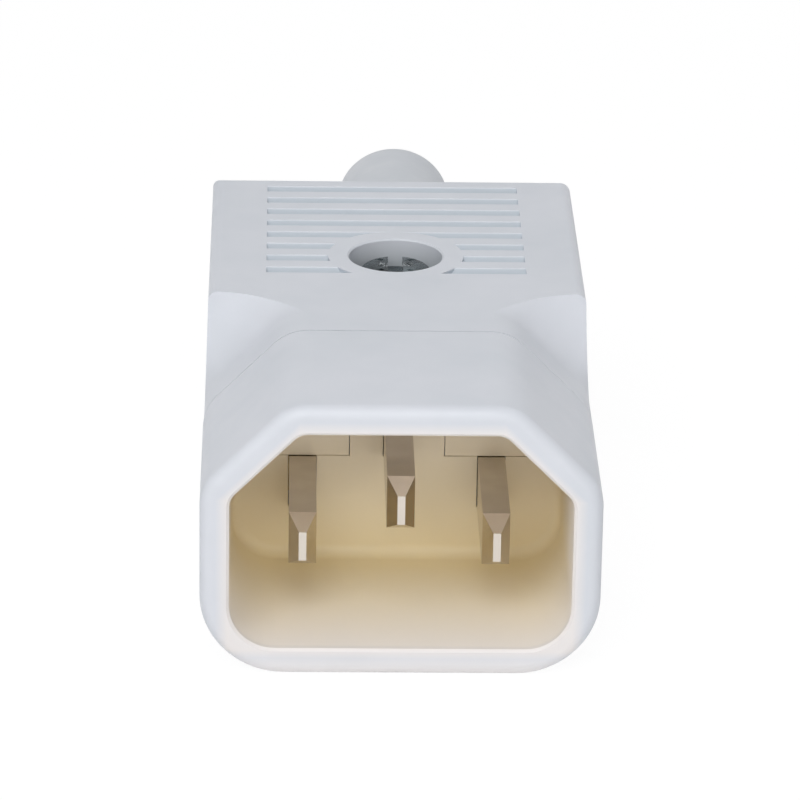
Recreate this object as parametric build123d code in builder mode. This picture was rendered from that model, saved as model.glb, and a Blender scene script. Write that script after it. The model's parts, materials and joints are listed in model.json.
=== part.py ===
# A rewireable appliance plug of the keyed 10 A pattern: a moulded shroud round three flat
# pins, a lower shell and a cover that hold it and are joined by one screw and nut, screw
# terminals, a cord clamp and a flexible sleeve at the cable end.
# The origin is the centre of the mating face. +Y runs from the mouth to the cable end,
# +Z is up towards the keyed corners, +X is to the right when looking into the mouth.
from build123d import *
import os

# Mating cavity
cavity_width = 24.5
cavity_height = 16.5
cavity_depth = 17.0
cavity_chamfer = 5.0
cavity_keyed_radius = 1.4
cavity_lower_radius = 3.3
cavity_floor_radius = 0.9
shroud_wall = 2.1
shroud_lower_radius = 6.0
rim_outer_radius = 0.9
rim_inner_edge = 0.2

# Housing
body_length = 49.0
seam_position = 15.2
seam_gap = 0.12
run_out_start = 18.8
grip_draft = 1.5
grip_edge_radius = 0.8
shell_wall = 2.0
rear_wall = 2.0
back_wall = 3.0
chamber_corner_radius = 0.5
spigot_wall = 1.0
spigot_clearance = 0.06
spigot_rib_proud = 0.4
spigot_rib_width = 0.8
spigot_rib_position = 18.0
spigot_rib_half_length = 7.0
keyed_chamber_end = 24.5

# Finger grooves across both broad faces
groove_count = 8
groove_pitch = 2.6
groove_last_from_rear = 2.8
groove_half_length = 9.8
groove_radius = 0.75
groove_depth = 0.38
plain_ring_radius = 5.15

# Contact pins
pin_width = 2.0
pin_height = 4.0
pin_spacing = 14.0
pin_row_height = -2.25
earth_pin_rise = 4.0
live_tip_depth = 4.3
earth_tip_depth = 1.6
pin_bevel_length = 2.0
pin_tip_width = 0.55
pin_tip_height = 2.2
pin_tip_rise = 0.15
pin_tail_length = 2.0
pin_clearance = 0.05

# Terminal blocks behind the pins
block_width = 5.6
block_length = 6.5
block_below = 2.85
block_above = 3.75
block_edge = 0.3
tail_clearance = 0.02
wire_bore_radius = 1.6
wire_bore_length = 4.0
wire_bore_drop = 0.2
block_clearance = 0.05

# Screws
m3_radius = 1.5
thread_clearance = 0.03
terminal_screw_from_wall = 4.0
terminal_screw_length = 4.0
terminal_head_radius = 2.2
terminal_head_height = 1.5
terminal_head_gap = 0.5
slot_width_share = 0.4
slot_depth_share = 0.5

# Housing screw, its recess and its nut
recess_to_terminal_screw = 0.55
recess_radius = 3.55
recess_depth = 3.1
recess_edge = 0.12
housing_head_radius = 2.8
housing_head_height = 2.35
housing_head_bevel = 0.3
cross_width = 0.95
cross_length = 3.64
cross_depth = 1.46
screw_hole_radius = 1.7
pillar_radius = 2.7
cup_wall = 1.0
recess_floor = 1.6
nut_flats = 5.5
nut_height = 2.4
nut_clearance = 0.1
nut_recess = 1.6
nut_seat_radius = 4.4
nut_seat_rise = 1.4

# Cover tongues that close the back wall above the outer pins
column_half_width = 3.5
tongue_clearance = 0.06

# Locating lip along the parting plane
lip_thickness = 0.9
lip_height = 1.0
lip_clearance = 0.05
lip_end_gap = 0.9

# Walls round the terminals
divider_thickness = 1.0
divider_height = 4.0
seat_width = 4.0
stop_thickness = 1.0

# Cord clamp
clamp_wall_share = 0.204
clamp_corner_share = 0.4
clamp_rear_gap = 0.5
clamp_side_gap = 1.1
clamp_screw_from_wall = 3.8
clamp_seat_height = -1.6
clamp_ear_thickness = 2.8
clamp_arch_wall = 1.8
clamp_hole_radius = 1.5
clamp_boss_radius = 2.6
tapping_radius = 1.25
tapping_length = 8.0
tapping_end_gap = 0.3
tapping_head_radius = 2.3
tapping_head_height = 1.7
cable_radius = 3.4
grip_ridge_height = 0.4
grip_ridge_width = 1.2

# Bend relief sleeve
boot_bore_radius = 3.6
boot_neck_radius = 5.0
boot_shoulder_radius = 5.8
boot_tip_radius = 4.6
boot_reach = 23.9
boot_flange_radius = 7.0
boot_flange_thickness = 1.8
boot_tip_edge = 0.25
boot_shoulder_edge = 0.3
boot_clearance = 0.1
partition_thickness = 1.2

# Sizes that follow from those above
half_width = cavity_width / 2 + shroud_wall
half_height = cavity_height / 2 + shroud_wall
spigot_lower_radius = (cavity_lower_radius + shroud_lower_radius) / 2
block_front = cavity_depth + back_wall
block_rear = block_front + block_length
terminal_room_front = block_front + spigot_clearance
chamber_half_width = half_width - shell_wall
chamber_half_height = half_height - shell_wall
chamber_rear = body_length - rear_wall
pin_offset = pin_spacing / 2
pin_row_top = pin_row_height + pin_height / 2
terminal_screw_position = block_front + terminal_screw_from_wall
recess_floor_height = half_height - recess_depth
cup_radius = recess_radius + cup_wall
screw_position = terminal_screw_position + terminal_head_radius + recess_to_terminal_screw + cup_radius
cup_bottom = recess_floor_height - recess_floor
nut_bottom = nut_recess - half_height
nut_top = nut_bottom + nut_height
housing_screw_length = recess_floor_height - nut_bottom
flange_rear = chamber_rear - boot_clearance
flange_front = flange_rear - boot_flange_thickness
partition_rear = flange_front - boot_clearance
partition_front = partition_rear - partition_thickness
pillar_rear = screw_position + pillar_radius
clamp_width = 2 * clamp_hole_radius + clamp_wall_share * (partition_front - pillar_rear)
clamp_rear = partition_front - clamp_rear_gap
clamp_front = clamp_rear - clamp_width
clamp_position = (clamp_front + clamp_rear) / 2
clamp_half_length = chamber_half_width - clamp_side_gap
clamp_screw_offset = chamber_half_width - clamp_screw_from_wall
lip_start = keyed_chamber_end + lip_end_gap
lip_end = partition_front - lip_end_gap
arch_radius = cable_radius + clamp_arch_wall
stop_front = block_rear + block_clearance
pin_rises = {"line": 0.0, "neutral": 0.0, "earth": earth_pin_rise}
pin_places = {"line": pin_offset, "neutral": -pin_offset, "earth": 0.0}
pin_tips = {"line": live_tip_depth, "neutral": live_tip_depth, "earth": earth_tip_depth}
os.makedirs("parts", exist_ok=True)


def across(position):
    """The plane across the plug at a distance from the mating face, facing the mouth."""
    return Plane.XZ.offset(-position)


def box_between(low, high, mode=Mode.ADD):
    """A box between two corners."""
    size = [b - a for a, b in zip(low, high)]
    with Locations(tuple((a + b) / 2 for a, b in zip(low, high))):
        Box(*size, mode=mode)


def rod_between(radius, front, rear, mode=Mode.ADD):
    """A cylinder round the cable axis between two distances from the mating face."""
    with Locations((0, (front + rear) / 2, 0)):
        Cylinder(radius, rear - front, rotation=(90, 0, 0), mode=mode)


def finish(piece, label):
    """Names a sub-part and writes its file."""
    piece.label = label
    export_step(piece, f"parts/{label}.step")


def keyed_outline(wall, lower_radius):
    """The outline of the cavity, moved out by a wall, with a radius of its own at the lower corners."""
    with BuildSketch() as outline:
        with BuildLine():
            Polyline(
                (cavity_width / 2 - cavity_chamfer, cavity_height / 2),
                (cavity_width / 2, cavity_height / 2 - cavity_chamfer),
                (cavity_width / 2, -cavity_height / 2),
                (-cavity_width / 2, -cavity_height / 2),
                (-cavity_width / 2, cavity_height / 2 - cavity_chamfer),
                (-cavity_width / 2 + cavity_chamfer, cavity_height / 2),
                close=True,
            )
        make_face()
        if wall:
            offset(amount=wall, kind=Kind.INTERSECTION)
        fillet(outline.vertices().group_by(Axis.Y)[0], lower_radius)
        keyed_corners = outline.vertices().group_by(Axis.Y)[-2:]
        fillet(keyed_corners[0] + keyed_corners[1], cavity_keyed_radius + wall)
    return outline.sketch


cavity_outline = keyed_outline(0, cavity_lower_radius)
shroud_outline = keyed_outline(shroud_wall, shroud_lower_radius)


def corner_cutter(height):
    """The tool that takes the box's corners down to the shroud's outline and scoops out behind it."""
    upper = height > 0
    with BuildPart() as cutter:
        with BuildSketch(across(run_out_start)) as corner_region:
            with Locations((half_width / 2, height / 2)):
                Rectangle(half_width, abs(height))
            add(shroud_outline, mode=Mode.SUBTRACT)
        extrude(amount=run_out_start + shell_wall)
        scoop_axis = Axis((half_width, run_out_start, height), (1, 0, -1 if upper else 1))
        revolve(corner_region.sketch, axis=scoop_axis, revolution_arc=90 if upper else -90)
        mirror(about=Plane.YZ)
    return cutter.part


# Half of the grip, with its draft, edges and finger grooves, before the corners are cut
with BuildPart() as grooves:
    for number in range(groove_count):
        groove_position = body_length - groove_last_from_rear - number * groove_pitch
        groove_centre = half_height + groove_radius - groove_depth
        with Locations((0, groove_position, groove_centre)):
            Cylinder(groove_radius, 2 * groove_half_length, rotation=(0, 90, 0))
    with Locations((0, screw_position, half_height)):
        Cylinder(plain_ring_radius, 4 * groove_radius, mode=Mode.SUBTRACT)

with BuildPart() as grip_half:
    with BuildSketch(Plane.XY):
        with Locations((0, body_length / 2)):
            Rectangle(2 * half_width, body_length)
    extrude(amount=half_height, taper=grip_draft)
    grip_edges = grip_half.edges().group_by(Axis.Z)
    fillet(grip_edges[1].sort_by(Axis.Y)[-2:] + grip_edges[-1], grip_edge_radius)
    add(grooves.part, mode=Mode.SUBTRACT)

# The room for the terminals, the clamp and the sleeve's flange
with BuildPart() as chamber:
    with BuildSketch(across(block_front)):
        Rectangle(2 * chamber_half_width, 2 * chamber_half_height)
    extrude(amount=block_front - chamber_rear)
    fillet(chamber.edges().filter_by(Axis.Y), chamber_corner_radius)
    with BuildSketch(across(block_front)) as corner_backing:
        Rectangle(2 * half_width, 2 * half_height)
        add(cavity_outline, mode=Mode.SUBTRACT)
    extrude(amount=block_front - keyed_chamber_end, mode=Mode.SUBTRACT)

with BuildPart() as cavity:
    with BuildSketch(across(-shell_wall)):
        add(cavity_outline)
    extrude(amount=-shell_wall - cavity_depth)
    fillet(cavity.faces().sort_by(Axis.Y)[-1].edges(), cavity_floor_radius)

with BuildPart() as lower_grip:
    add(mirror(grip_half.part, about=Plane.XY, mode=Mode.PRIVATE))
    add(corner_cutter(-half_height), mode=Mode.SUBTRACT)
    split(bisect_by=across(seam_position), keep=Keep.BOTTOM)

# The shroud's spigot fits inside the lower shell and ends in the back wall behind the pins
with BuildSketch() as spigot_outline:
    add(keyed_outline(spigot_wall, spigot_lower_radius))
    with Locations((0, half_height)):
        Rectangle(3 * half_width, 2 * half_height, mode=Mode.SUBTRACT)

with BuildPart() as shroud:
    with BuildSketch(across(seam_position)):
        add(shroud_outline)
    extrude(amount=seam_position)
    fillet(shroud.faces().sort_by(Axis.Y)[0].edges(), rim_outer_radius)
    with BuildSketch(across(seam_position)):
        add(spigot_outline.sketch)
    extrude(amount=seam_position - block_front)
    spigot_bottom = -cavity_height / 2 - spigot_wall
    rib_front = spigot_rib_position - spigot_rib_width / 2
    rib_rear = spigot_rib_position + spigot_rib_width / 2
    box_between(
        (-spigot_rib_half_length, rib_front, spigot_bottom - spigot_rib_proud),
        (spigot_rib_half_length, rib_rear, spigot_bottom + spigot_wall / 2),
    )
    add(cavity.part, mode=Mode.SUBTRACT)
    chamfer(shroud.faces().sort_by(Axis.Y)[0].inner_wires()[0].edges(), rim_inner_edge)
    # The centre column rises to the top, the sides of the wall stop at the outer pins' tops
    column_top = cavity_height / 2 - tongue_clearance
    box_between((-column_half_width, cavity_depth, -1.0), (column_half_width, block_front, column_top))
    tongue_space = cavity_width / 2 - column_half_width
    tongue_space_front = cavity_depth - cavity_floor_radius
    for side in (-1, 1):
        tongue_place = side * (column_half_width + tongue_space / 2)
        with Locations((tongue_place, (tongue_space_front + block_front) / 2, pin_row_top / 2)):
            Box(tongue_space, block_front - tongue_space_front, -pin_row_top, mode=Mode.SUBTRACT)
    for name, place in pin_places.items():
        with Locations((place, (cavity_depth + block_front) / 2, pin_row_height + pin_rises[name])):
            Box(
                pin_width + 2 * pin_clearance,
                back_wall + 2 * cavity_floor_radius,
                pin_height + 2 * pin_clearance,
                mode=Mode.SUBTRACT,
            )
finish(shroud.part, "shroud")

with BuildPart() as lower_shell:
    add(mirror(grip_half.part, about=Plane.XY, mode=Mode.PRIVATE))
    add(corner_cutter(-half_height), mode=Mode.SUBTRACT)
    split(bisect_by=across(seam_position + seam_gap), keep=Keep.BOTTOM)
    # Room for the spigot and its rib
    with BuildSketch(across(seam_position)):
        add(keyed_outline(spigot_wall + spigot_clearance, spigot_lower_radius + spigot_clearance))
    extrude(amount=seam_position - terminal_room_front, mode=Mode.SUBTRACT)
    rib_half_length = spigot_rib_half_length + spigot_clearance
    rib_bottom = spigot_bottom - spigot_rib_proud - spigot_clearance
    box_between(
        (-rib_half_length, rib_front - spigot_clearance, rib_bottom),
        (rib_half_length, rib_rear + spigot_clearance, -cavity_height / 2),
        mode=Mode.SUBTRACT,
    )
    add(chamber.part, mode=Mode.SUBTRACT)
    # Dividers between the terminals
    for side in (-1, 1):
        divider_place = side * column_half_width
        box_between(
            (divider_place - divider_thickness / 2, terminal_room_front, -chamber_half_height),
            (divider_place + divider_thickness / 2, stop_front + stop_thickness, divider_height),
        )
    # Seats under the terminals with a stop behind each one
    for name, place in pin_places.items():
        seat_height = pin_row_height + pin_rises[name] - block_below
        stop_height = pin_row_height + pin_rises[name] - wire_bore_drop - wire_bore_radius
        box_between(
            (place - seat_width / 2, terminal_room_front, -chamber_half_height),
            (place + seat_width / 2, stop_front, seat_height),
        )
        box_between(
            (place - seat_width / 2, stop_front, -chamber_half_height),
            (place + seat_width / 2, stop_front + stop_thickness, stop_height),
        )
    # Pillar for the housing screw with the nut's pocket below
    with Locations((0, screw_position, 0)):
        Cylinder(pillar_radius, chamber_half_height, align=(Align.CENTER, Align.CENTER, Align.MAX))
    with Locations((0, screw_position, nut_top + nut_seat_rise)):
        seat_depth = half_height + nut_top + nut_seat_rise - shell_wall / 2
        Cylinder(nut_seat_radius, seat_depth, align=(Align.CENTER, Align.CENTER, Align.MAX))
    with Locations((0, screw_position, 0)):
        Cylinder(screw_hole_radius, 3 * half_height, mode=Mode.SUBTRACT)
    with BuildSketch(Plane.XY.offset(nut_top)):
        with Locations((0, screw_position)):
            RegularPolygon(nut_flats / 2 + nut_clearance, 6, major_radius=False)
    extrude(amount=-half_height, mode=Mode.SUBTRACT)
    # Cradle and bosses for the cord clamp
    box_between(
        (-arch_radius, clamp_front, -chamber_half_height),
        (arch_radius, clamp_rear, clamp_seat_height - 2 * boot_clearance),
    )
    rod_between(cable_radius, clamp_front - 1, clamp_rear + 1, mode=Mode.SUBTRACT)
    for side in (-1, 1):
        with Locations((side * clamp_screw_offset, clamp_position, clamp_seat_height)):
            boss_height = chamber_half_height + clamp_seat_height
            Cylinder(clamp_boss_radius, boss_height, align=(Align.CENTER, Align.CENTER, Align.MAX))
            Cylinder(
                tapping_radius + thread_clearance,
                tapping_length - clamp_ear_thickness + tapping_end_gap,
                align=(Align.CENTER, Align.CENTER, Align.MAX),
                mode=Mode.SUBTRACT,
            )
    # Partition in front of the sleeve's flange, and the sleeve's way out
    box_between(
        (-boot_flange_radius, partition_front, -chamber_half_height),
        (boot_flange_radius, partition_rear, 0),
    )
    rod_between(boot_bore_radius, partition_front - 1, partition_rear, mode=Mode.SUBTRACT)
    rod_between(boot_neck_radius + boot_clearance, partition_rear, body_length + 1, mode=Mode.SUBTRACT)
    # Locating lip
    for side in (-1, 1):
        lip_place = side * (chamber_half_width + lip_thickness / 2)
        with Locations((lip_place, (lip_start + lip_end) / 2, 0)):
            Box(lip_thickness, lip_end - lip_start, 2 * lip_height)
finish(lower_shell.part, "lower_shell")

with BuildPart() as cover:
    add(grip_half.part)
    add(corner_cutter(half_height), mode=Mode.SUBTRACT)
    with BuildSketch(across(seam_position + seam_gap)):
        Rectangle(3 * half_width, 3 * half_height)
    extrude(amount=body_length, mode=Mode.SUBTRACT)
    with BuildSketch(across(seam_position)):
        add(cavity_outline)
    extrude(amount=seam_position - keyed_chamber_end, mode=Mode.SUBTRACT)
    add(chamber.part, mode=Mode.SUBTRACT)
    # A narrow gap all round the parting plane
    with Locations((0, body_length / 2, 0)):
        Box(3 * half_width, 2 * body_length, 2 * seam_gap, mode=Mode.SUBTRACT)
    # Tongues
    tongue_bottom = pin_row_top + tongue_clearance
    with BuildSketch(across(cavity_depth)) as tongues:
        add(cavity_outline)
        with Locations((0, -cavity_height / 2)):
            Rectangle(2 * cavity_width, cavity_height + 2 * tongue_bottom, mode=Mode.SUBTRACT)
        Rectangle(2 * (column_half_width + tongue_clearance), 2 * cavity_height, mode=Mode.SUBTRACT)
        for side in (-1, 1):
            with Locations((side * cavity_width / 2, 0)):
                notch_height = 2 * (seam_gap + tongue_clearance - pin_row_top)
                Rectangle(2 * tongue_clearance, notch_height, mode=Mode.SUBTRACT)
    extrude(amount=tongue_clearance - back_wall)
    # Recess and pillar for the housing screw
    with Locations((0, screw_position, cup_bottom)):
        cup_height = chamber_half_height + shell_wall / 2 - cup_bottom
        Cylinder(cup_radius, cup_height, align=(Align.CENTER, Align.CENTER, Align.MIN))
    with Locations((0, screw_position, 0)):
        Cylinder(pillar_radius, cup_bottom, align=(Align.CENTER, Align.CENTER, Align.MIN))
        Cylinder(screw_hole_radius, 3 * half_height, mode=Mode.SUBTRACT)
    with Locations((0, screw_position, recess_floor_height)):
        Cylinder(
            recess_radius,
            half_height,
            align=(Align.CENTER, Align.CENTER, Align.MIN),
            mode=Mode.SUBTRACT,
        )
    # Partition and the sleeve's way out
    box_between(
        (-boot_flange_radius, partition_front, seam_gap),
        (boot_flange_radius, partition_rear, chamber_half_height),
    )
    rod_between(boot_bore_radius, partition_front - 1, partition_rear, mode=Mode.SUBTRACT)
    rod_between(boot_neck_radius + boot_clearance, partition_rear, body_length + 1, mode=Mode.SUBTRACT)
    # Rebate over the locating lip
    for side in (-1, 1):
        lip_place = side * (chamber_half_width + lip_thickness / 2)
        with Locations((lip_place, (lip_start + lip_end) / 2, 0)):
            Box(
                lip_thickness + 2 * lip_clearance,
                lip_end - lip_start + 2 * lip_clearance,
                2 * (lip_height + lip_clearance),
                mode=Mode.SUBTRACT,
            )
    recess_edges = cover.edges().filter_by(GeomType.CIRCLE)
    recess_edges = recess_edges.filter_by(lambda edge: abs(edge.radius - recess_radius) < 0.01)
    chamfer(recess_edges.sort_by(Axis.Z)[-1], recess_edge)
finish(cover.part, "cover")

with BuildPart() as boot:
    with BuildSketch(Plane.XY) as boot_profile:
        with BuildLine():
            Polyline(
                (boot_bore_radius, flange_front),
                (boot_flange_radius, flange_front),
                (boot_flange_radius, flange_rear),
                (boot_neck_radius, flange_rear),
                (boot_neck_radius, body_length + boot_clearance),
                (boot_shoulder_radius, body_length + boot_clearance),
                (boot_tip_radius, body_length + boot_reach),
                (boot_bore_radius, body_length + boot_reach),
                close=True,
            )
        make_face()
        tip_corner = boot_profile.vertices().group_by(Axis.Y)[-1].sort_by(Axis.X)[-1]
        chamfer(tip_corner, boot_tip_edge)
        shoulder_corner = boot_profile.vertices().group_by(Axis.Y)[-3].sort_by(Axis.X)[-1]
        chamfer(shoulder_corner, boot_shoulder_edge)
    revolve(axis=Axis.Y)
finish(boot.part, "boot")

for name, place in pin_places.items():
    pin_centre = pin_row_height + pin_rises[name]
    pin_front = pin_tips[name]
    shoulder = pin_front + pin_bevel_length
    pin_rear = block_front + pin_tail_length
    # The outline from above and the outline from the side, both narrowed at the tip
    with BuildPart() as pin:
        with BuildSketch(Plane.XY.offset(pin_centre)):
            with BuildLine():
                Polyline(
                    (place - pin_width / 2, pin_rear),
                    (place - pin_width / 2, shoulder),
                    (place - pin_tip_width / 2, pin_front),
                    (place + pin_tip_width / 2, pin_front),
                    (place + pin_width / 2, shoulder),
                    (place + pin_width / 2, pin_rear),
                    close=True,
                )
            make_face()
        extrude(amount=pin_height / 2, both=True)
        with BuildSketch(Plane.YZ.offset(place)):
            with BuildLine():
                Polyline(
                    (pin_rear, pin_centre - pin_height / 2),
                    (shoulder, pin_centre - pin_height / 2),
                    (pin_front, pin_centre + pin_tip_rise - pin_tip_height / 2),
                    (pin_front, pin_centre + pin_tip_rise + pin_tip_height / 2),
                    (shoulder, pin_centre + pin_height / 2),
                    (pin_rear, pin_centre + pin_height / 2),
                    close=True,
                )
            make_face()
        extrude(amount=pin_width / 2, both=True, mode=Mode.INTERSECT)
    finish(pin.part, name + "_pin")

    with BuildPart() as terminal:
        box_between(
            (place - block_width / 2, block_front, pin_centre - block_below),
            (place + block_width / 2, block_rear, pin_centre + block_above),
        )
        chamfer(terminal.edges(), block_edge)
        with Locations((place, block_front, pin_centre)):
            Box(
                pin_width + 2 * tail_clearance,
                2 * (pin_tail_length + tail_clearance),
                pin_height + 2 * tail_clearance,
                mode=Mode.SUBTRACT,
            )
        with Locations((place, block_rear, pin_centre - wire_bore_drop)):
            Cylinder(
                wire_bore_radius,
                2 * wire_bore_length,
                rotation=(90, 0, 0),
                mode=Mode.SUBTRACT,
            )
        with Locations((place, terminal_screw_position, pin_centre)):
            Cylinder(
                m3_radius + thread_clearance,
                block_above + 1,
                align=(Align.CENTER, Align.CENTER, Align.MIN),
                mode=Mode.SUBTRACT,
            )
    finish(terminal.part, name + "_terminal")


def slotted_screw(seat, radius, length, head_radius, head_height, head_bevel=0):
    """A slotted screw that points down from its seat, with a bevel round its head if it has one."""
    above = (Align.CENTER, Align.CENTER, Align.MIN)
    below = (Align.CENTER, Align.CENTER, Align.MAX)
    with BuildPart() as screw:
        with Locations(seat):
            Cylinder(radius, length, align=below)
            Cylinder(head_radius, head_height, align=above)
        if head_bevel:
            chamfer(screw.edges().sort_by(Axis.Z)[-1], head_bevel)
        slot_width = head_radius * slot_width_share
        slot_depth = head_height * slot_depth_share
        with Locations((seat[0], seat[1], seat[2] + head_height)):
            Box(slot_width, 3 * head_radius, slot_depth, align=below, mode=Mode.SUBTRACT)
    return screw.part


for name, place in pin_places.items():
    head_seat = pin_row_height + pin_rises[name] + block_above + terminal_head_gap
    terminal_screw = slotted_screw(
        (place, terminal_screw_position, head_seat),
        m3_radius,
        terminal_screw_length,
        terminal_head_radius,
        terminal_head_height,
    )
    finish(terminal_screw, name + "_terminal_screw")

with BuildPart() as clamp:
    box_between(
        (-clamp_half_length, clamp_front, clamp_seat_height),
        (clamp_half_length, clamp_rear, clamp_seat_height + clamp_ear_thickness),
    )
    fillet(clamp.edges().filter_by(Axis.Z), clamp_corner_share * clamp_width)
    with BuildSketch(across(clamp_front)):
        Circle(arch_radius)
        with Locations((0, clamp_seat_height)):
            Rectangle(3 * arch_radius, 3 * arch_radius, align=(Align.CENTER, Align.MAX), mode=Mode.SUBTRACT)
    extrude(amount=-clamp_width)
    rod_between(cable_radius, clamp_front - 1, clamp_rear + 1, mode=Mode.SUBTRACT)
    with BuildSketch(across(clamp_position)):
        Circle(cable_radius + clamp_arch_wall / 2)
        Circle(cable_radius - grip_ridge_height, mode=Mode.SUBTRACT)
        with Locations((0, clamp_seat_height)):
            Rectangle(3 * arch_radius, 3 * arch_radius, align=(Align.CENTER, Align.MAX), mode=Mode.SUBTRACT)
    extrude(amount=grip_ridge_width / 2, both=True)
    with Locations(*[(side * clamp_screw_offset, clamp_position, 0) for side in (-1, 1)]):
        Cylinder(clamp_hole_radius, 4 * clamp_ear_thickness, mode=Mode.SUBTRACT)
finish(clamp.part, "cord_clamp")

for side, label in ((-1, "clamp_screw_left"), (1, "clamp_screw_right")):
    clamp_screw = slotted_screw(
        (side * clamp_screw_offset, clamp_position, clamp_seat_height + clamp_ear_thickness),
        tapping_radius,
        tapping_length,
        tapping_head_radius,
        tapping_head_height,
    )
    finish(clamp_screw, label)

with BuildPart() as housing_screw:
    add(
        slotted_screw(
            (0, screw_position, recess_floor_height),
            m3_radius,
            housing_screw_length,
            housing_head_radius,
            housing_head_height,
            housing_head_bevel,
        )
    )
    # Its head is cut for a cross driver too
    with Locations((0, screw_position, recess_floor_height + housing_head_height)):
        for size in ((cross_length, cross_width), (cross_width, cross_length)):
            Box(*size, cross_depth, align=(Align.CENTER, Align.CENTER, Align.MAX), mode=Mode.SUBTRACT)
finish(housing_screw.part, "housing_screw")

with BuildPart() as nut:
    with BuildSketch(Plane.XY.offset(nut_bottom)):
        with Locations((0, screw_position)):
            RegularPolygon(nut_flats / 2, 6, major_radius=False)
            Circle(m3_radius + thread_clearance, mode=Mode.SUBTRACT)
    extrude(amount=nut_height)
finish(nut.part, "housing_nut")
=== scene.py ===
import json
from math import cos, pi, radians, sin

import bmesh
import bpy
from mathutils import Matrix, Vector


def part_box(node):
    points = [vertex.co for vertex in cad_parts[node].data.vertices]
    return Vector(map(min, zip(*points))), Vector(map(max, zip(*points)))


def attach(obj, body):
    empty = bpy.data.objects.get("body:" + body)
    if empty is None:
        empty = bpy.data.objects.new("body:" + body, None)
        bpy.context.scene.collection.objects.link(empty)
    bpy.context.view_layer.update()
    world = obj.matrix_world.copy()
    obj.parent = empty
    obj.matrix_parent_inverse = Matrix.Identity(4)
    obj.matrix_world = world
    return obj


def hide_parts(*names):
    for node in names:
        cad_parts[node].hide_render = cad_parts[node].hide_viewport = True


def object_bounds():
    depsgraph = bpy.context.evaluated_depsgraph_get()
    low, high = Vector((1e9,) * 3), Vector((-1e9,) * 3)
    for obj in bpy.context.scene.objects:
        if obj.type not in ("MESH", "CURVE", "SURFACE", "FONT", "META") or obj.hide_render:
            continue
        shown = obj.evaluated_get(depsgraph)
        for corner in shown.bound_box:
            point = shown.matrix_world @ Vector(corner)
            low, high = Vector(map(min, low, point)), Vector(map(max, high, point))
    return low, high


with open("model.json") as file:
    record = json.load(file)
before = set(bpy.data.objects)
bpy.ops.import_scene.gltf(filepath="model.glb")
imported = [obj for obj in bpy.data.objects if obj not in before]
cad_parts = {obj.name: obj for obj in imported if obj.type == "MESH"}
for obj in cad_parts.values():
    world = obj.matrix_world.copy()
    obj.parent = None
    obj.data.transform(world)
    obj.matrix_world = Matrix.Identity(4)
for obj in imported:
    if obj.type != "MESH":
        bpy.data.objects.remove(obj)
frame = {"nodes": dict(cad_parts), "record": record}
cad_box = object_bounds()
nodes = frame["nodes"]
scene = bpy.context.scene
scene.view_settings.view_transform = "Standard"

# Lengths are in millimetres and angles in degrees. Names that end in _M hold metres.
MM = 0.001

# The photograph's camera
CAMERA_AZIMUTH = -1.43
CAMERA_ELEVATION = 21.81
CAMERA_ROLL = 0.94
CAMERA_DISTANCE = 363.8
CAMERA_RIGHT = -0.10
CAMERA_UP = 10.24
CAMERA_CLIP_START_M = 0.01
SENSOR_WIDTH = 36.0
CAMERA_LENS = 230.5


def direction(azimuth, elevation):
    """The unit vector that points to a place seen round the object; azimuth 0 is in front of the mouth."""
    around = radians(azimuth)
    upward = radians(elevation)
    return Vector((sin(around) * cos(upward), -cos(around) * cos(upward), sin(upward)))


def add_camera():
    back = direction(CAMERA_AZIMUTH, CAMERA_ELEVATION)
    right = (-back).cross(Vector((0, 0, 1))).normalized()
    up = right.cross(-back)
    roll = radians(CAMERA_ROLL)
    rolled_right = cos(roll) * right + sin(roll) * up
    rolled_up = cos(roll) * up - sin(roll) * right
    place = CAMERA_RIGHT * rolled_right + CAMERA_UP * rolled_up + CAMERA_DISTANCE * back
    data = bpy.data.cameras.new("photo_camera")
    data.sensor_width = SENSOR_WIDTH
    data.lens = CAMERA_LENS
    data.clip_start = CAMERA_CLIP_START_M
    camera = bpy.data.objects.new("photo_camera", data)
    turn = Matrix((rolled_right, rolled_up, back)).transposed().to_4x4()
    camera.matrix_world = Matrix.Translation(place * MM) @ turn
    scene.collection.objects.link(camera)
    scene.camera = camera


add_camera()


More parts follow.
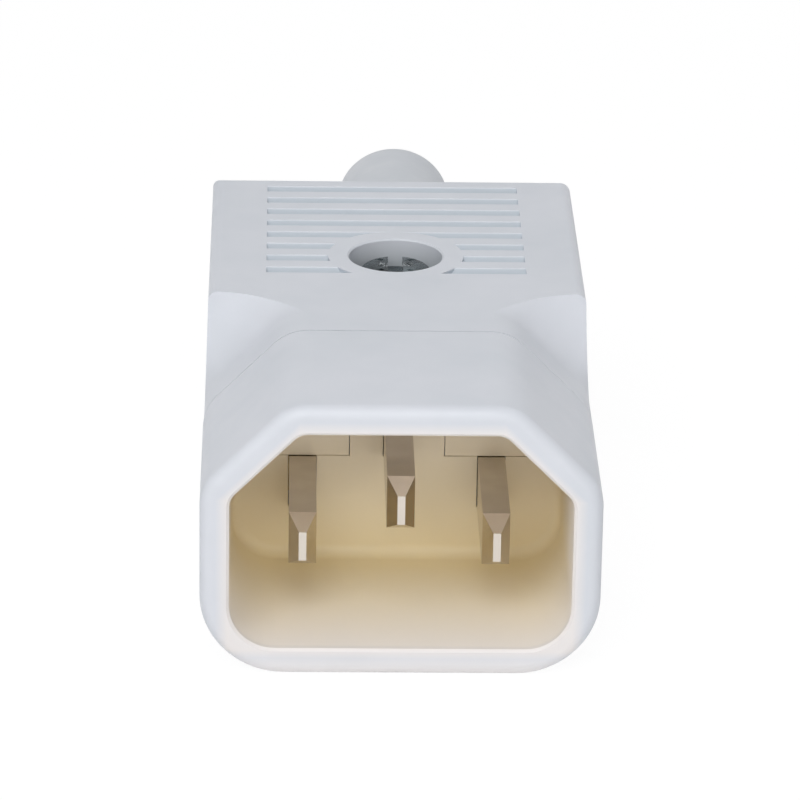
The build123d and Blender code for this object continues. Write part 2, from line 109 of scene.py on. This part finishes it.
class Nodes:
    """Builds a node tree with short calls; a value may be a number, a colour or another node's output."""

    def __init__(self, name, world=None):
        self.owner = world or bpy.data.materials.new(name)
        self.owner.use_nodes = True
        self.tree = self.owner.node_tree
        self.tree.nodes.clear()

    def put(self, socket, value):
        if isinstance(value, bpy.types.NodeSocket):
            self.tree.links.new(value, socket)
        else:
            socket.default_value = value

    def node(self, kind, inputs=None, **settings):
        made = self.tree.nodes.new(kind)
        for key, value in settings.items():
            setattr(made, key, value)
        for key, value in (inputs or {}).items():
            self.put(made.inputs[key], value)
        return made

    def math(self, operation, *values):
        made = self.node("ShaderNodeMath", operation=operation)
        for index, value in enumerate(values):
            self.put(made.inputs[index], value)
        return made.outputs[0]

    def product(self, first, *others):
        result = first
        for value in others:
            result = self.math("MULTIPLY", result, value)
        return result

    def noise(self, vector, scale, detail, roughness=0.5):
        made = self.node(
            "ShaderNodeTexNoise",
            {"Vector": vector, "Scale": scale, "Detail": detail, "Roughness": roughness},
        )
        return made.outputs["Fac"]

    def span(self, value, ends, results):
        """Goes evenly from the first result to the second while a value passes between two ends."""
        made = self.node(
            "ShaderNodeMapRange",
            {
                "Value": value,
                "From Min": ends[0],
                "From Max": ends[1],
                "To Min": results[0],
                "To Max": results[1],
            },
        )
        return made.outputs["Result"]

    def rise(self, value, low, high):
        return self.span(value, (low, high), (0.0, 1.0))

    def fall(self, value, low, high):
        return self.span(value, (low, high), (1.0, 0.0))

    def mix(self, factor, first, second):
        made = self.node("ShaderNodeMix", data_type="RGBA")
        for key, value in (("Factor_Float", factor), ("A_Color", first), ("B_Color", second)):
            socket = next(s for s in made.inputs if s.identifier == key)
            self.put(socket, value)
        return next(s for s in made.outputs if s.identifier == "Result_Color")

    def bump(self, height, strength, distance):
        made = self.node(
            "ShaderNodeBump", {"Height": height, "Strength": strength, "Distance": distance * MM}
        )
        return made.outputs["Normal"]

    def surface(self, shader):
        output = self.node("ShaderNodeOutputMaterial")
        self.tree.links.new(shader, output.inputs["Surface"])
        return self.owner


# The screen's curve between written and linear colour
SCREEN_FULL = 255
CURVE_START = 0.04045
CURVE_SLOPE = 12.92
CURVE_OFFSET = 0.055
CURVE_POWER = 2.4


def srgb(red, green, blue):
    """A colour written as 0 to 255 screen values, made linear."""
    linear = []
    for value in (red, green, blue):
        share = value / SCREEN_FULL
        if share <= CURVE_START:
            linear.append(share / CURVE_SLOPE)
        else:
            linear.append(((share + CURVE_OFFSET) / (1 + CURVE_OFFSET)) ** CURVE_POWER)
    return (*linear, 1.0)


def millimetres(shader):
    """The place on the object in millimetres."""
    place = shader.node("ShaderNodeTexCoord").outputs["Object"]
    scaled = shader.node("ShaderNodeVectorMath", {0: place, "Scale": 1 / MM}, operation="SCALE")
    return scaled.outputs[0]


# The part's sizes, some of them moved by 0.1 mm or less, that the tones of the white plastic follow
CAVITY_HALF_WIDTH = 12.25
CAVITY_HALF_HEIGHT = 8.25
CAVITY_CHAMFER = 5.0
CAVITY_DEPTH = 17.0
HALF_HEIGHT = 10.35
RECESS_RADIUS = 3.55
RECESS_TOP = 10.25
GROOVE_HALF_LENGTH = 9.85

# The grooves all lie behind this place
GROOVES_START = 26.0

PLASTIC = srgb(221, 224, 231)
PLASTIC_SHADE = srgb(216, 220, 227)
# Painted light on the rim's thin edge and the lowest band at the front
PLASTIC_PAINTED_RIM_LIGHT = srgb(238, 234, 233)
# Painted shade in the finger grooves
PLASTIC_GROOVE_SHADE = srgb(194, 202, 210)
# Painted shade in the screw's recess
PLASTIC_RECESS_SHADE = srgb(190, 197, 201)
# Painted light: the cavity's warm, bright tones stand in for light that comes through its thin walls and
# bounces inside
CAVITY_MOUTH_PAINTED_LIGHT = srgb(250, 244, 237)
CAVITY_DEEP_PAINTED_LIGHT = srgb(254, 238, 197)

# Where one tone goes over into the next. A distance inside the cavity is negative in its wall.
CAVITY_WALL_FADE = (-0.3, -0.05)
CAVITY_MOUTH_FADE = (0.0, 0.8)
CAVITY_END_FADE = (CAVITY_DEPTH + 0.2, CAVITY_DEPTH + 0.4)
CAVITY_WARM_FROM = 1.0
CAVITY_WARMEST_BEFORE_END = 2.0
GROOVE_TOP_FADE = (HALF_HEIGHT - 0.12, HALF_HEIGHT - 0.02)
GROOVE_BOTTOM_FADE = (HALF_HEIGHT - 0.5, HALF_HEIGHT - 0.42)
GROOVES_FROM_RECESS = 0.5
RIM_WALL_FADE = (-1.0, -0.1)
RIM_FADE = (0.2, 1.4)
RECESS_SHADE_BEYOND = 0.2
RECESS_SHADE_DEPTH = 2.5

# Noise values lie mostly between these ends
NOISE_ENDS = (0.35, 0.65)
NOISE_WIDE_ENDS = (0.3, 0.7)

# Noise: how fine it is, its detail and its roughness. Relief: its strength and its depth.
PLASTIC_CLOUDS = (0.12, 3.0)
PLASTIC_GRAIN = (7.0, 3.0, 0.6)
PLASTIC_FLOW = (0.6, 2.0)
PLASTIC_GRAIN_SHARE = 0.7
PLASTIC_ROUGHNESS = (0.40, 0.52)
PLASTIC_RELIEF = (0.3, 0.02)
PLASTIC_IOR = 1.5


def white_plastic():
    """The housing's plastic: bluish white, and painted warm and bright in the cavity, as painted light for
    light that comes through its walls.
    """
    shader = Nodes("white_plastic")
    place = millimetres(shader)
    axes = shader.node("ShaderNodeSeparateXYZ", {0: place}).outputs
    across = shader.math("ABSOLUTE", axes["X"])
    clouds = shader.noise(place, *PLASTIC_CLOUDS)
    colour = shader.mix(shader.rise(clouds, *NOISE_ENDS), PLASTIC, PLASTIC_SHADE)

    # How far inside the cavity's keyed outline a point is
    side = shader.math("SUBTRACT", CAVITY_HALF_WIDTH, across)
    height = shader.math("SUBTRACT", CAVITY_HALF_HEIGHT, shader.math("ABSOLUTE", axes["Z"]))
    keyed_reach = CAVITY_HALF_WIDTH + CAVITY_HALF_HEIGHT - CAVITY_CHAMFER
    keyed = shader.math("SUBTRACT", keyed_reach, shader.math("ADD", across, axes["Z"]))
    within = shader.math("MINIMUM", shader.math("MINIMUM", side, height), keyed)
    in_cavity = shader.product(
        shader.rise(within, *CAVITY_WALL_FADE),
        shader.rise(axes["Y"], *CAVITY_MOUTH_FADE),
        shader.fall(axes["Y"], *CAVITY_END_FADE),
    )
    # Painted light, warmest towards the back of the cavity and low down
    depth = shader.rise(axes["Y"], CAVITY_WARM_FROM, CAVITY_DEPTH - CAVITY_WARMEST_BEFORE_END)
    low = shader.fall(axes["Z"], -CAVITY_HALF_HEIGHT, CAVITY_HALF_HEIGHT)
    cavity_painted_light = shader.mix(shader.product(depth, low), CAVITY_MOUTH_PAINTED_LIGHT, CAVITY_DEEP_PAINTED_LIGHT)

    # How far from the screw's axis a point is
    low_screw, high_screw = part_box("housing_screw")
    from_screw = shader.math("SUBTRACT", axes["Y"], (low_screw[1] + high_screw[1]) / 2 / MM)
    square = shader.math("ADD", shader.product(across, across), shader.product(from_screw, from_screw))
    distance = shader.math("SQRT", square)

    # Painted shade: the finger grooves are painted a little darker
    groove_shade = shader.product(
        shader.fall(axes["Z"], *GROOVE_TOP_FADE),
        shader.rise(axes["Z"], *GROOVE_BOTTOM_FADE),
        shader.math("LESS_THAN", across, GROOVE_HALF_LENGTH),
        shader.math("GREATER_THAN", axes["Y"], GROOVES_START),
        shader.math("GREATER_THAN", distance, RECESS_RADIUS + GROOVES_FROM_RECESS),
    )
    colour = shader.mix(groove_shade, colour, PLASTIC_GROOVE_SHADE)

    # Painted light: the thin edge of the rim and the lowest band at the front are painted brighter, for
    # light through the thin plastic and light off the floor. Painted shade: the screw's recess is painted
    # darker, as little light reaches it.
    lowest = shader.fall(axes["Z"], -HALF_HEIGHT, -CAVITY_HALF_HEIGHT)
    rim_and_bottom = shader.math("MAXIMUM", shader.rise(within, *RIM_WALL_FADE), lowest)
    painted_rim_light = shader.product(rim_and_bottom, shader.fall(axes["Y"], *RIM_FADE))
    colour = shader.mix(painted_rim_light, colour, PLASTIC_PAINTED_RIM_LIGHT)
    # Painted shade in the screw's recess
    near = shader.math("LESS_THAN", distance, RECESS_RADIUS + RECESS_SHADE_BEYOND)
    recess_shade = shader.product(near, shader.fall(axes["Z"], RECESS_TOP - RECESS_SHADE_DEPTH, RECESS_TOP))
    colour = shader.mix(recess_shade, colour, PLASTIC_RECESS_SHADE)
    # Painted light over the whole cavity
    colour = shader.mix(in_cavity, colour, cavity_painted_light)

    # Fine moulded grain, with a broader flow of the plastic under it
    grain = shader.noise(place, *PLASTIC_GRAIN)
    flow = shader.noise(place, *PLASTIC_FLOW)
    relief = shader.math("ADD", shader.product(grain, PLASTIC_GRAIN_SHARE), flow)
    principled = shader.node(
        "ShaderNodeBsdfPrincipled",
        {
            "Base Color": colour,
            "Roughness": shader.span(flow, NOISE_WIDE_ENDS, PLASTIC_ROUGHNESS),
            "IOR": PLASTIC_IOR,
            "Normal": shader.bump(relief, *PLASTIC_RELIEF),
        },
    )
    return shader.surface(principled.outputs[0])


SOFT_CLOUDS = (0.2, 3.0)
SOFT_GRAIN = (6.0, 4.0, 0.6)
SOFT_ROUGHNESS_CHANGE = 0.05
SOFT_RELIEF = (0.4, 0.03)


def soft_plastic(name, light, dark, roughness):
    """Moulded plastic or rubber with a matt, slightly uneven skin."""
    shader = Nodes(name)
    place = millimetres(shader)
    clouds = shader.noise(place, *SOFT_CLOUDS)
    grain = shader.noise(place, *SOFT_GRAIN)
    roughnesses = (roughness - SOFT_ROUGHNESS_CHANGE, roughness + SOFT_ROUGHNESS_CHANGE)
    principled = shader.node(
        "ShaderNodeBsdfPrincipled",
        {
            "Base Color": shader.mix(shader.rise(clouds, *NOISE_ENDS), light, dark),
            "Roughness": shader.span(clouds, NOISE_WIDE_ENDS, roughnesses),
            "IOR": PLASTIC_IOR,
            "Normal": shader.bump(grain, *SOFT_RELIEF),
        },
    )
    return shader.surface(principled.outputs[0])


METAL_MARKS = (1.0, 4.0, 0.7)
METAL_STAINS = (0.5, 3.0)
METAL_ROUGHNESS_CHANGE = 0.03
METAL_RELIEF_DEPTH = 0.01

# Which normals get the painted highlight on a bevel, and its share on the flat front of a blade
BEVEL_FORWARD = (-0.35, -0.15)
BEVEL_UPWARD = (0.6, 0.8)
FLAT_FRONT = (-0.98, -0.9)
FLAT_FRONT_SHARE = 0.45


def metal(name, light, dark, roughness, stretch, relief, relief_depth=METAL_RELIEF_DEPTH, painted_highlight=None):
    """Metal with fine marks, and with a painted highlight on faces that slope forward, if one is given."""
    shader = Nodes(name)
    place = millimetres(shader)
    drawn = shader.node("ShaderNodeMapping", {"Vector": place, "Scale": stretch})
    marks = shader.noise(drawn.outputs[0], *METAL_MARKS)
    stains = shader.noise(place, *METAL_STAINS)
    colour = shader.mix(shader.rise(stains, *NOISE_ENDS), light, dark)
    # Painted highlight: faces that slope forward and up, and the flat front of a blade, are painted brighter
    # as reflections of light from the front
    if painted_highlight:
        normal = shader.node("ShaderNodeNewGeometry").outputs["Normal"]
        faces = shader.node("ShaderNodeSeparateXYZ", {0: normal}).outputs
        forward = shader.fall(faces["Y"], *BEVEL_FORWARD)
        upward = shader.rise(faces["Z"], *BEVEL_UPWARD)
        front = shader.span(faces["Y"], FLAT_FRONT, (FLAT_FRONT_SHARE, 0.0))
        highlight_share = shader.math("MAXIMUM", shader.product(forward, upward), front)
        colour = shader.mix(highlight_share, colour, painted_highlight)
    roughnesses = (roughness - METAL_ROUGHNESS_CHANGE, roughness + METAL_ROUGHNESS_CHANGE)
    principled = shader.node(
        "ShaderNodeBsdfPrincipled",
        {
            "Base Color": colour,
            "Metallic": 1.0,
            "Roughness": shader.span(marks, NOISE_WIDE_ENDS, roughnesses),
            "Normal": shader.bump(marks, relief, relief_depth),
        },
    )
    return shader.surface(principled.outputs[0])


finishes = {
    "white_plastic": white_plastic(),
    "white_rubber": soft_plastic(
        "white_rubber",
        light=srgb(222, 225, 230),
        dark=srgb(214, 218, 224),
        roughness=0.62,
    ),
    "clamp_plastic": soft_plastic(
        "clamp_plastic",
        light=srgb(214, 217, 222),
        dark=srgb(206, 210, 215),
        roughness=0.55,
    ),
    "nickel_plate": metal(
        "nickel_plate",
        light=srgb(204, 196, 184),
        dark=srgb(197, 188, 175),
        roughness=0.2,
        stretch=(22.0, 1.0, 22.0),
        relief=0.02,
        painted_highlight=srgb(243, 234, 224),
    ),
    # Painted reflection: the zinc's dark tones stand in for dark surroundings that the screw head reflects,
    # and its painted highlight for glints on forward-sloping faces such as the marks
    "zinc_plate": metal(
        "zinc_plate",
        light=srgb(96, 106, 110),
        dark=srgb(30, 38, 41),
        roughness=0.12,
        stretch=(3.0, 3.0, 3.0),
        relief=1.0,
        relief_depth=0.16,
        painted_highlight=srgb(238, 244, 248),
    ),
    "brass": metal(
        "brass",
        light=srgb(226, 200, 130),
        dark=srgb(206, 176, 104),
        roughness=0.3,
        stretch=(4.0, 4.0, 4.0),
        relief=0.25,
    ),
}
for entry in frame["record"]["subparts"]:
    mesh = nodes[entry["node"]].data
    mesh.materials.clear()
    mesh.materials.append(finishes[entry["material_slot"]])


def rings_to_piece(name, loops, closed=False):
    """A solid from rings of points in millimetres; closed joins the last ring to the first."""
    made = bmesh.new()
    rows = [[made.verts.new(Vector(point) * MM) for point in loop] for loop in loops]
    pairs = list(zip(rows, rows[1:])) + ([(rows[-1], rows[0])] if closed else [])
    for lower, upper in pairs:
        for step in range(len(lower)):
            after = (step + 1) % len(lower)
            made.faces.new((lower[step], lower[after], upper[after], upper[step]))
    if not closed:
        made.faces.new(reversed(rows[0]))
        made.faces.new(rows[-1])
    bmesh.ops.recalc_face_normals(made, faces=made.faces)
    mesh = bpy.data.meshes.new(name)
    made.to_mesh(mesh)
    made.free()
    piece = bpy.data.objects.new(name, mesh)
    scene.collection.objects.link(piece)
    return piece


SEGMENTS = 48


def turned(name, centre, profile, first_step=0.0):
    """A turned form round an upright axis; a radius may be a function of the angle and the height."""
    loops = []
    for height, radius in profile:
        loop = []
        for step in range(SEGMENTS):
            angle = 2 * pi * (step + first_step) / SEGMENTS
            reach = radius(angle, height) if callable(radius) else radius
            loop.append((centre.x + reach * cos(angle), centre.y + reach * sin(angle), height))
        loops.append(loop)
    return rings_to_piece(name, loops)


def bar(name, centre, top, depth, size, end_size, turn=0.0):
    """A bar that reaches equally far above and below a height, narrows downwards, and is turned in plan."""
    loops = []
    for height, (width, length) in ((top - depth, end_size), (top + depth, size)):
        loop = []
        for i, j in ((-1, -1), (1, -1), (1, 1), (-1, 1)):
            x, y = i * width / 2, j * length / 2
            turned_x = centre.x + x * cos(turn) - y * sin(turn)
            turned_y = centre.y + x * sin(turn) + y * cos(turn)
            loop.append((turned_x, turned_y, height))
        loops.append(loop)
    return rings_to_piece(name, loops)


def shape_with(piece, tool, operation):
    """Cuts a piece with a tool, or keeps what they share, and removes the tool."""
    modifier = piece.modifiers.new("shape", "BOOLEAN")
    modifier.operation = operation
    modifier.solver = "EXACT"
    modifier.object = tool
    evaluated = piece.evaluated_get(bpy.context.evaluated_depsgraph_get())
    shaped = bpy.data.meshes.new_from_object(evaluated)
    piece.modifiers.clear()
    piece.data = shaped
    bpy.data.objects.remove(tool)


def steps(low, high, step):
    """Evenly spaced values from low to high, both included."""
    count = max(1, round((high - low) / step))
    return [low + (high - low) * number / count for number in range(count + 1)]


# Edges that bend more than this stay sharp
CREST_ANGLE = 30


def dress(piece, node, slot):
    """Finishes a piece and lets it stand for its node."""
    piece.data.shade_smooth()
    piece.data.set_sharp_from_angle(angle=radians(CREST_ANGLE))
    piece.data.materials.clear()
    piece.data.materials.append(finishes[slot])
    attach(piece, "root")
    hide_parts(node)


def corners(node):
    """The two ends of a node's box in millimetres."""
    return [Vector(corner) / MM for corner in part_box(node)]


# Threads. A screw's lower end is a cone with an end radius, and its slope is what it widens in 1 mm.
M3_THREAD = {"radius": 1.5, "pitch": 0.5, "depth": 0.3, "end_radius": 1.1, "slope": 1.0}
TAPPING_THREAD = {"radius": 1.25, "pitch": 1.0, "depth": 0.35, "end_radius": 0.25, "slope": 0.7}
NUT_THREAD = {"radius": 1.53, "pitch": 0.5, "depth": 0.25}
STEPS_PER_TURN = 6

# The thread ends this share of its pitch below the head
NECK_SHARE = 0.25

# Heads: their heights and bevel, and the form of their domes and slots as shares, steps and powers
HOUSING_HEAD_HEIGHT = 2.35
TERMINAL_HEAD_HEIGHT = 1.5
CLAMP_HEAD_HEIGHT = 1.7
HEAD_BEVEL = 0.12
CROWN_SHARE = 0.42
CROWN_RINGS = 9
CROWN_STEP = 10.5
CROWN_RISE_POWER = 0.8
CROWN_REACH_POWER = 0.45
SLOT_WIDTH_SHARE = 0.4
SLOT_LENGTH_SHARE = 3
SLOT_DEPTH_SHARE = 0.5

# The housing screw's cross, and the marks between its arms
CROSS_LENGTH = 3.64
CROSS_WIDTH = 0.95
CROSS_DEPTH = 1.46
CROSS_END_LENGTH_SHARE = 0.45
CROSS_END_WIDTH_SHARE = 0.5
MARK_ANGLES = (45, 135, 225, 315)
MARK_RADIUS = 1.95
MARK_DEPTH = 0.3
MARK_SIZE = (0.75, 1.3)
MARK_END = (0.04, 1.0)


def thread(radius, pitch, depth, bottom=None, end_radius=None, slope=None):
    """The reach of a helical thread, drawn in towards its bottom if one is given."""

    def reach(angle, height):
        turn = (height / pitch - angle / (2 * pi)) % 1.0
        helix = radius - depth * abs(2 * turn - 1)
        if bottom is None:
            return helix
        return min(helix, end_radius + slope * (height - bottom))

    return reach


def cut_cross(piece, centre, top):
    """Cuts the two bars of a cross, and four short marks as on heads for a slot and a cross driver."""
    size = (CROSS_LENGTH, CROSS_WIDTH)
    end_size = (CROSS_LENGTH * CROSS_END_LENGTH_SHARE, CROSS_WIDTH * CROSS_END_WIDTH_SHARE)
    for wide, narrow in ((size, end_size), (size[::-1], end_size[::-1])):
        shape_with(piece, bar("cross_tool", centre, top, CROSS_DEPTH, wide, narrow), "DIFFERENCE")
    for angle in MARK_ANGLES:
        turn = radians(angle)
        place = centre + MARK_RADIUS * Vector((cos(turn), sin(turn), 0))
        mark = bar("mark_tool", place, top, MARK_DEPTH, MARK_SIZE, MARK_END, turn - pi / 2)
        shape_with(piece, mark, "DIFFERENCE")


def add_screw(node, head_height, screw_thread, has_cross=False):
    """A domed, slotted screw with a thread, in the place and the outer sizes of its node."""
    low, high = corners(node)
    centre = (low + high) / 2
    seat = high.z - head_height
    head_radius = (high.x - low.x) / 2
    pitch = screw_thread["pitch"]
    reach = thread(bottom=low.z, **screw_thread)
    heights = steps(low.z, seat - pitch * NECK_SHARE, pitch / STEPS_PER_TURN)
    profile = [(height, reach) for height in heights]
    profile.append((seat, screw_thread["radius"] - screw_thread["depth"]))
    profile.append((seat, head_radius - HEAD_BEVEL))
    profile.append((seat + HEAD_BEVEL, head_radius))
    crown = CROWN_SHARE * head_height
    for number in range(CROWN_RINGS):
        turn = radians(CROWN_STEP * number)
        height = high.z - crown + crown * sin(turn) ** CROWN_RISE_POWER
        profile.append((height, head_radius * cos(turn) ** CROWN_REACH_POWER))
    piece = turned(node + "_turned", centre, profile)
    slot_size = (head_radius * SLOT_WIDTH_SHARE, head_radius * SLOT_LENGTH_SHARE)
    slot_depth = head_height * SLOT_DEPTH_SHARE
    shape_with(piece, bar("slot_tool", centre, high.z, slot_depth, slot_size, slot_size), "DIFFERENCE")
    if has_cross:
        cut_cross(piece, centre, high.z)
    dress(piece, node, "zinc_plate")


add_screw("housing_screw", HOUSING_HEAD_HEIGHT, M3_THREAD, has_cross=True)
for pin in ("line", "neutral", "earth"):
    add_screw(pin + "_terminal_screw", TERMINAL_HEAD_HEIGHT, M3_THREAD)
for side in ("left", "right"):
    add_screw("clamp_screw_" + side, CLAMP_HEAD_HEIGHT, TAPPING_THREAD)

HEXAGON_ANGLES = (0, 60, 120, 180, 240, 300)
NUT_BEVEL_SHARE = 0.58
NUT_FACE_SHARE = 0.97
NUT_TOOL_CLEARANCE = 0.03
NUT_TOOL_OVERLAP = 0.01
HALF_STEP = 0.5

# How far below the nut the tap starts, as a share of the pitch
TAP_START_SHARE = 0.9


def add_nut(node):
    """A hexagon nut with bevelled corners and a threaded hole, in the place of its node."""
    low, high = corners(node)
    centre = (low + high) / 2
    across_corners = (high.x - low.x) / 2
    across_flats = (high.y - low.y) / 2
    loops = []
    for height in (low.z, high.z):
        loop = []
        for angle in HEXAGON_ANGLES:
            turn = radians(angle)
            x = centre.x + across_corners * cos(turn)
            y = centre.y + across_corners * sin(turn)
            loop.append((x, y, height))
        loops.append(loop)
    piece = rings_to_piece(node + "_turned", loops)
    # The tool's corners stand between the hexagon's, so that their edges don't meet
    bevel = (across_corners - across_flats) * NUT_BEVEL_SHARE
    profile = [
        (low.z - NUT_TOOL_OVERLAP, across_flats * NUT_FACE_SHARE),
        (low.z + bevel, across_corners + NUT_TOOL_CLEARANCE),
        (high.z - bevel, across_corners + NUT_TOOL_CLEARANCE),
        (high.z + NUT_TOOL_OVERLAP, across_flats * NUT_FACE_SHARE),
    ]
    shape_with(piece, turned("bevel_tool", centre, profile, HALF_STEP), "INTERSECT")
    # No ring of the tap lies in one of the nut's faces
    pitch = NUT_THREAD["pitch"]
    reach = thread(**NUT_THREAD)
    heights = steps(low.z - TAP_START_SHARE * pitch, high.z + pitch, pitch / STEPS_PER_TURN)
    profile = [(height, reach) for height in heights]
    shape_with(piece, turned("tap_tool", centre, profile), "DIFFERENCE")
    dress(piece, node, "zinc_plate")


add_nut("housing_nut")

# The sleeve, which leans a little to one side as a flexible one does
SLEEVE_BORE = 3.6
SLEEVE_FLANGE = 7.0
SLEEVE_NECK = 5.0
SLEEVE_SHOULDER = 5.8
SLEEVE_TIP = 4.6
SLEEVE_LEAN = 0.7
SLEEVE_LIFT = 0.1
SLEEVE_LEAN_POWER = 1.5
SLEEVE_SEGMENTS = 96
FLANGE_THICKNESS = 1.8
BODY_REAR = 49.1
EDGE_ROUNDING = 0.55
RING_SPACING = 1.0
ROUNDING_ANGLES = (0, 15, 30, 45, 60, 75, 90)


def sleeve_profile(front, rear):
    """The places and radii of the sleeve's rings, from its flange over its tip and back through its bore."""
    quarter = [radians(angle) for angle in ROUNDING_ANGLES]
    flange_rear = front + FLANGE_THICKNESS
    profile = [(front, SLEEVE_BORE), (front, SLEEVE_FLANGE), (flange_rear, SLEEVE_FLANGE)]
    profile += [(flange_rear, SLEEVE_NECK), (BODY_REAR, SLEEVE_NECK)]
    for turn in quarter:
        drop = EDGE_ROUNDING * (1 - sin(turn))
        profile.append((BODY_REAR + EDGE_ROUNDING * (1 - cos(turn)), SLEEVE_SHOULDER - drop))
    for place in steps(BODY_REAR + EDGE_ROUNDING + RING_SPACING, rear - EDGE_ROUNDING, RING_SPACING):
        share = (place - BODY_REAR) / (rear - BODY_REAR)
        profile.append((place, SLEEVE_SHOULDER + share * (SLEEVE_TIP - SLEEVE_SHOULDER)))
    for turn in quarter[1:]:
        drop = EDGE_ROUNDING * (1 - cos(turn))
        profile.append((rear - EDGE_ROUNDING * (1 - sin(turn)), SLEEVE_TIP - drop))
    profile += [(place, SLEEVE_BORE) for place in reversed(steps(BODY_REAR, rear, RING_SPACING))]
    return profile


def add_sleeve():
    low, high = corners("boot")
    loops = []
    for place, radius in sleeve_profile(low.y, high.y):
        share = max(0.0, (place - BODY_REAR) / (high.y - BODY_REAR)) ** SLEEVE_LEAN_POWER
        loop = []
        for step in range(SLEEVE_SEGMENTS):
            angle = 2 * pi * step / SLEEVE_SEGMENTS
            x = SLEEVE_LEAN * share + radius * cos(angle)
            loop.append((x, place, SLEEVE_LIFT * share + radius * sin(angle)))
        loops.append(loop)
    dress(rings_to_piece("sleeve_moulded", loops, closed=True), "boot", "white_rubber")


add_sleeve()

# The floor lies a hair under the plug, so that the two faces don't lie in one plane
FLOOR_GAP = 0.02
FLOOR_REACH_M = 3.0
FLOOR_GLOW = 1.04
FLOOR_GLOW_SHARE = 0.9
WHITE = (1.0, 1.0, 1.0, 1.0)


def seen_directly(shader):
    """1 for rays from the camera, off a glossy surface or through glass, and 0 for those of soft light."""
    rays = shader.node("ShaderNodeLightPath").outputs
    seen = shader.math("MAXIMUM", rays["Is Camera Ray"], rays["Is Glossy Ray"])
    return shader.math("MAXIMUM", seen, rays["Is Transmission Ray"])


def add_floor():
    """A white floor that keeps a soft shadow and lights the object like white paper."""
    shader = Nodes("studio_floor")
    share = shader.product(seen_directly(shader), FLOOR_GLOW_SHARE)
    paper = shader.node("ShaderNodeBsdfDiffuse", {"Color": WHITE})
    glow = shader.node("ShaderNodeEmission", {"Color": WHITE, "Strength": FLOOR_GLOW})
    blend = shader.node("ShaderNodeMixShader", {0: share, 1: paper.outputs[0], 2: glow.outputs[0]})
    material = shader.surface(blend.outputs[0])
    reach = FLOOR_REACH_M
    base = cad_box[0][2] - FLOOR_GAP * MM
    outline = [(-reach, -reach, base), (reach, -reach, base), (reach, reach, base), (-reach, reach, base)]
    mesh = bpy.data.meshes.new("studio_floor")
    mesh.from_pydata(outline, [], [(0, 1, 2, 3)])
    mesh.materials.append(material)
    floor = bpy.data.objects.new("studio_floor", mesh)
    scene.collection.objects.link(floor)


# Each lamp's name, azimuth, elevation, distance in metres, width in metres, power in watts and colour
LAMPS = (
    ("front_low_lamp", 16, 9, 0.6, 0.3, 0.27, (1.0, 0.995, 0.99)),
    ("front_high_lamp", -11, 43, 0.5, 0.34, 1.15, (1.0, 0.99, 0.985)),
    ("top_lamp", -58, 58, 0.9, 0.6, 0.7, (0.95, 0.98, 1.0)),
    ("back_lamp", 150, 55, 0.9, 0.6, 0.5, (0.95, 0.98, 1.0)),
)
LAMP_AIM_M = Vector((0, 0.025, 0))


def add_lamp(name, azimuth, elevation, distance, width, power, colour):
    data = bpy.data.lights.new(name, "AREA")
    data.shape = "DISK"
    data.size = width
    data.energy = power
    data.color = colour
    lamp = bpy.data.objects.new(name, data)
    towards = direction(azimuth, elevation)
    lamp.location = LAMP_AIM_M + distance * towards
    lamp.rotation_euler = towards.to_track_quat("Z", "Y").to_euler()
    scene.collection.objects.link(lamp)


# How strongly the surroundings light the object, and how bright they look
WORLD_STRENGTHS = (0.35, 1.0)
WORLD_COLOUR = (0.99, 0.995, 1.0, 1.0)


def add_world():
    world = scene.world or bpy.data.worlds.new("studio")
    scene.world = world
    shader = Nodes("studio", world)
    strength = shader.span(seen_directly(shader), (0.0, 1.0), WORLD_STRENGTHS)
    sky = shader.node("ShaderNodeBackground", {"Color": WORLD_COLOUR, "Strength": strength})
    output = shader.node("ShaderNodeOutputWorld")
    shader.tree.links.new(sky.outputs[0], output.inputs["Surface"])


add_floor()
for lamp in LAMPS:
    add_lamp(*lamp)
add_world()
